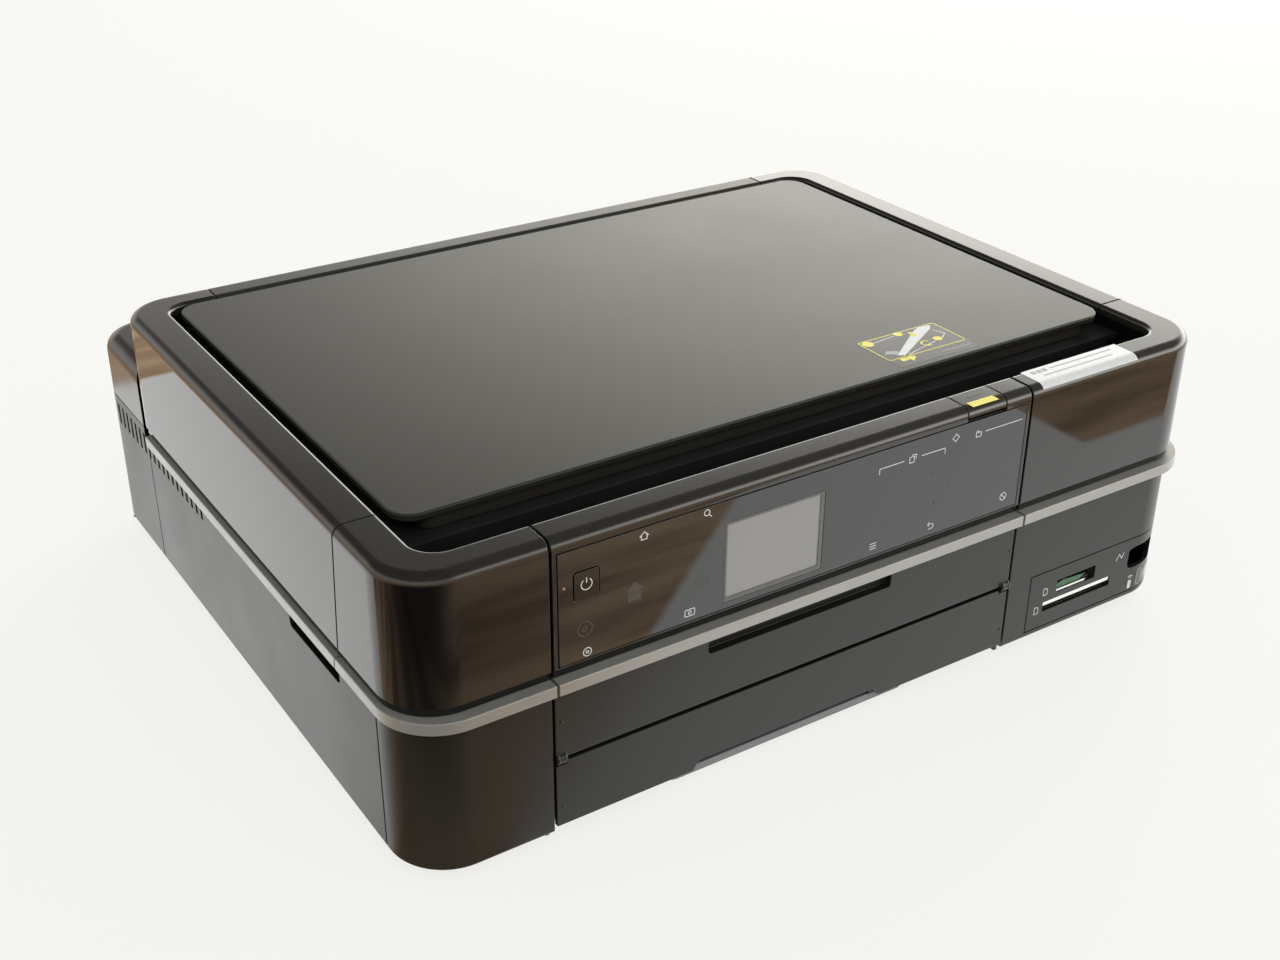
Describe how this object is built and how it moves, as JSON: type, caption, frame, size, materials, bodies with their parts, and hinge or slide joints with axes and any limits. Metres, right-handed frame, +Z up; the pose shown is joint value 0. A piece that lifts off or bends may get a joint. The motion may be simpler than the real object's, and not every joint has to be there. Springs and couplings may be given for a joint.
{
  "type": "disc label printer",
  "caption": "Flat black inkjet printer with flatbed scanner, tilting touch panel, paper cassette, duplex unit and disc tray for printing on discs.",
  "frame": {"origin": "centre of the footprint, on the table", "axes": "+X to the printer's right, +Y to its rear, +Z up"},
  "size_m": [0.446, 0.385, 0.15],
  "materials": {
    "gloss_black": "piano black, high gloss",
    "lid_grey": "satin, warm dark grey",
    "textured_black": "fine spark texture, satin",
    "silver_strip": "satin silver paint",
    "inner_black": "moulded, matt",
    "grey_plastic": "moulded, satin",
    "socket_metal": "pressed sockets on a small board",
    "circuit_green": "board with parts",
    "rubber": "matt rubber",
    "belt_rubber": "toothed rubber belt",
    "zinc_steel": "zinc plated sheet",
    "polished_steel": "ground and polished",
    "touch_face": "clear gloss over black",
    "display_face": "dark display",
    "glass": "clear float glass",
    "white_mat": "white foam-backed sheet",
    "ink_tank": "translucent moulding",
    "gear_white": "acetal",
    "roller_black": "coated shaft with tyres and gear"
  },
  "bodies": {
    "base": {"front_left_casing": "gloss_black", "front_right_casing": "gloss_black", "corner_strips": "silver_strip", "lower_left_corner": "textured_black", "lower_right_corner": "textured_black", "left_side_panel": "textured_black", "right_side_panel": "textured_black", "rear_panel": "textured_black", "rear_cover": "textured_black", "bottom_tray": "inner_black", "rubber_feet": "rubber", "case_screws": "zinc_steel", "front_deck": "inner_black", "metal_frame": "zinc_steel", "guide_rod": "polished_steel", "timing_belt": "belt_rubber", "drive_motors": "zinc_steel", "platen": "inner_black", "capping_station": "grey_plastic", "power_supply": "inner_black", "main_board": "circuit_green", "power_inlet": "inner_black", "card_slot_panel": "textured_black", "card_reader": "socket_metal", "output_tray": "inner_black"},
    "control_panel": {"panel_frame": "gloss_black", "touch_sheet": "touch_face", "display": "display_face", "panel_strip": "silver_strip"},
    "power_button": {"power_button": "gloss_black"},
    "panel_release_button": {"panel_release_button": "gloss_black"},
    "scanner_unit": {"scanner_housing": "gloss_black", "side_strips": "silver_strip", "scanner_bed": "inner_black", "scanner_glass": "glass"},
    "scan_bar": {"scan_bar": "inner_black"},
    "document_cover": {"document_cover": "lid_grey", "cover_mat": "white_mat", "cover_hinge_band": "lid_grey"},
    "scanner_stay": {"scanner_stay": "grey_plastic"},
    "front_cover": {"front_cover": "textured_black"},
    "output_extension": {"output_extension": "inner_black"},
    "cassette": {"cassette_front": "textured_black", "cassette_tray": "inner_black"},
    "edge_guide_left": {"edge_guide_left": "grey_plastic"},
    "edge_guide_right": {"edge_guide_right": "grey_plastic"},
    "length_guide": {"length_guide": "grey_plastic"},
    "photo_tray": {"photo_tray": "inner_black"},
    "disc_tray": {"disc_tray": "grey_plastic"},
    "ink_carriage": {"ink_carriage": "inner_black", "ink_tanks": "ink_tank"},
    "drive_pulley": {"drive_pulley": "gear_white"},
    "idler_pulley": {"idler_pulley": "gear_white"},
    "feed_roller": {"feed_roller": "roller_black"},
    "exit_roller": {"exit_roller": "roller_black"},
    "transfer_gear": {"transfer_gear": "gear_white"},
    "reverse_roller": {"reverse_roller": "roller_black"},
    "pickup_arm": {"pickup_arm": "inner_black"},
    "pickup_roller": {"pickup_roller": "rubber"},
    "duplex_unit": {"duplex_unit": "textured_black"}
  },
  "joints": [
    {"name": "panel_tilt", "type": "hinge", "parent": "base", "child": "control_panel", "pos_m": [-0.02765, -0.18, 0.141], "axis": [-1, 0, 0], "range_deg": [0, 85]},
    {"name": "power_press", "type": "slide", "parent": "control_panel", "child": "power_button", "axis": [0, 1, 0], "range_m": [0, 0.0008], "stiffness_N_per_m": 400, "springref_m": -0.0006},
    {"name": "release_press", "type": "slide", "parent": "control_panel", "child": "panel_release_button", "axis": [0, 0, -1], "range_m": [0, 0.0013], "stiffness_N_per_m": 400, "springref_m": -0.0006},
    {"name": "scanner_lift", "type": "hinge", "parent": "base", "child": "scanner_unit", "pos_m": [0, 0.127, 0.12], "axis": [-1, 0, 0], "range_deg": [0, 32]},
    {"name": "stay_swing", "type": "hinge", "parent": "base", "child": "scanner_stay", "pos_m": [0.2095, 0.03, 0.091], "axis": [-1, 0, 0], "range_deg": [0, 75.2]},
    {"name": "scan_travel", "type": "slide", "parent": "scanner_unit", "child": "scan_bar", "axis": [1, 0, 0], "range_m": [0, 0.32]},
    {"name": "document_cover_hinge", "type": "hinge", "parent": "scanner_unit", "child": "document_cover", "pos_m": [0, 0.126, 0.138], "axis": [-1, 0, 0], "range_deg": [0, 80]},
    {"name": "front_cover_hinge", "type": "hinge", "parent": "base", "child": "front_cover", "pos_m": [-0.02765, -0.1866, 0.0452], "axis": [1, 0, 0], "range_deg": [0, 90]},
    {"name": "extension_swing", "type": "hinge", "parent": "front_cover", "child": "output_extension", "pos_m": [-0.02765, -0.1835, 0.0752], "axis": [1, 0, 0], "range_deg": [0, 135]},
    {"name": "cassette_slide", "type": "slide", "parent": "base", "child": "cassette", "axis": [0, -1, 0], "range_m": [0, 0.3]},
    {"name": "edge_guide_left_slide", "type": "slide", "parent": "cassette", "child": "edge_guide_left", "axis": [1, 0, 0], "range_m": [0, 0.055]},
    {"name": "edge_guide_right_slide", "type": "slide", "parent": "cassette", "child": "edge_guide_right", "axis": [-1, 0, 0], "range_m": [0, 0.055]},
    {"name": "length_guide_slide", "type": "slide", "parent": "cassette", "child": "length_guide", "axis": [0, 1, 0], "range_m": [0, 0.08]},
    {"name": "photo_tray_slide", "type": "slide", "parent": "cassette", "child": "photo_tray", "axis": [0, 1, 0], "range_m": [0, 0.08]},
    {"name": "disc_tray_slide", "type": "slide", "parent": "base", "child": "disc_tray", "axis": [0, -1, 0], "range_m": [0, 0.24]},
    {"name": "carriage_travel", "type": "slide", "parent": "base", "child": "ink_carriage", "axis": [-1, 0, 0], "range_m": [0, 0.283]},
    {"name": "drive_pulley_spin", "type": "hinge", "parent": "base", "child": "drive_pulley", "pos_m": [0.188, 0.054, 0.103], "axis": [0, 1, 0], "range_deg": [0, 2800]},
    {"name": "idler_pulley_spin", "type": "hinge", "parent": "base", "child": "idler_pulley", "pos_m": [-0.188, 0.054, 0.103], "axis": [0, 1, 0], "range_deg": [0, 2800]},
    {"name": "feed_spin", "type": "hinge", "parent": "base", "child": "feed_roller", "pos_m": [-0.02765, 0.036, 0.056], "axis": [1, 0, 0], "continuous": true},
    {"name": "exit_spin", "type": "hinge", "parent": "base", "child": "exit_roller", "pos_m": [-0.02765, -0.034, 0.056], "axis": [1, 0, 0], "continuous": true},
    {"name": "transfer_spin", "type": "hinge", "parent": "base", "child": "transfer_gear", "pos_m": [-0.1855, 0.001, 0.056], "axis": [1, 0, 0], "continuous": true},
    {"name": "reverse_spin", "type": "hinge", "parent": "base", "child": "reverse_roller", "pos_m": [-0.02765, 0.146, 0.044], "axis": [1, 0, 0], "continuous": true},
    {"name": "pickup_arm_swing", "type": "hinge", "parent": "base", "child": "pickup_arm", "pos_m": [-0.02765, 0.07, 0.0515], "axis": [-1, 0, 0], "range_deg": [0, 43], "stiffness_Nm_per_rad": 0.05, "springref_deg": -34.38},
    {"name": "pickup_spin", "type": "hinge", "parent": "pickup_arm", "child": "pickup_roller", "pos_m": [-0.02765, 0.104, 0.0445], "axis": [1, 0, 0], "continuous": true},
    {"name": "duplex_slide", "type": "slide", "parent": "base", "child": "duplex_unit", "axis": [0, 1, 0], "range_m": [0, 0.1]}
  ],
  "couplings": [
    {"joint": "stay_swing", "follows": "scanner_lift", "ratio": 2.3438},
    {"joint": "extension_swing", "follows": "front_cover_hinge", "ratio": 1.5},
    {"joint": "edge_guide_right_slide", "follows": "edge_guide_left_slide", "ratio": 1},
    {"joint": "drive_pulley_spin", "follows": "carriage_travel", "rad_per_m": 172.41},
    {"joint": "idler_pulley_spin", "follows": "carriage_travel", "rad_per_m": 172.41},
    {"joint": "exit_spin", "follows": "feed_spin", "ratio": 1},
    {"joint": "transfer_spin", "follows": "feed_spin", "ratio": -0.55556},
    {"joint": "reverse_spin", "follows": "feed_spin", "ratio": 0.375}
  ]
}
